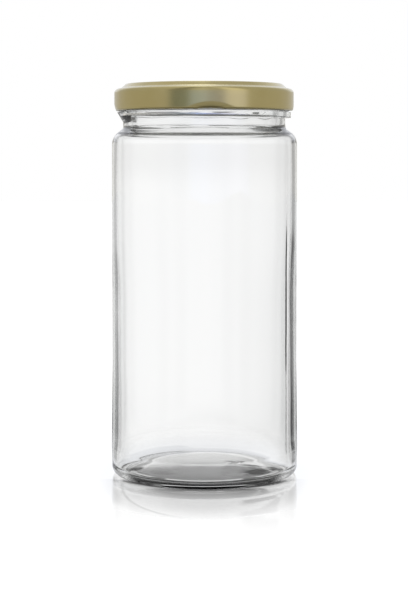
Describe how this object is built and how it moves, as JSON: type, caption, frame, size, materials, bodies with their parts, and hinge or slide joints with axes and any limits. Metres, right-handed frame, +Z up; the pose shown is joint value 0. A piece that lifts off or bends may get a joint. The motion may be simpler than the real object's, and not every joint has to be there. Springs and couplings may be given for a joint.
{
  "type": "lidded food jar",
  "caption": "Tall cylindrical clear glass food jar with a gold-lacquered metal twist-off lid and a sealing ring inside the lid.",
  "frame": {"origin": "centre of the standing ring on the surface the jar stands on", "axes": "+Z up along the jar's axis, front of the jar towards -Y, +X to the right seen from the front"},
  "size_m": [0.069, 0.069, 0.1434],
  "materials": {
    "glass": "clear, polished",
    "lid_metal": "gold lacquer, satin gloss",
    "sealing_compound": "matt"
  },
  "bodies": {
    "jar": {"glass_jar": "glass"},
    "gasket": {"sealing_ring": "sealing_compound"},
    "lid": {"lid_shell": "lid_metal"}
  },
  "joints": [
    {"name": "lid_lift", "type": "slide", "parent": "jar", "child": "gasket", "axis": [0, 0, 1], "range_m": [0, 0.0161]},
    {"name": "lid_twist", "type": "hinge", "parent": "gasket", "child": "lid", "pos_m": [0, 0, 0.1434], "axis": [0, 0, 1], "range_deg": [0, 360]}
  ],
  "couplings": [
    {"joint": "lid_lift", "follows": "lid_twist", "m_per_rad": 0.0025465}
  ]
}
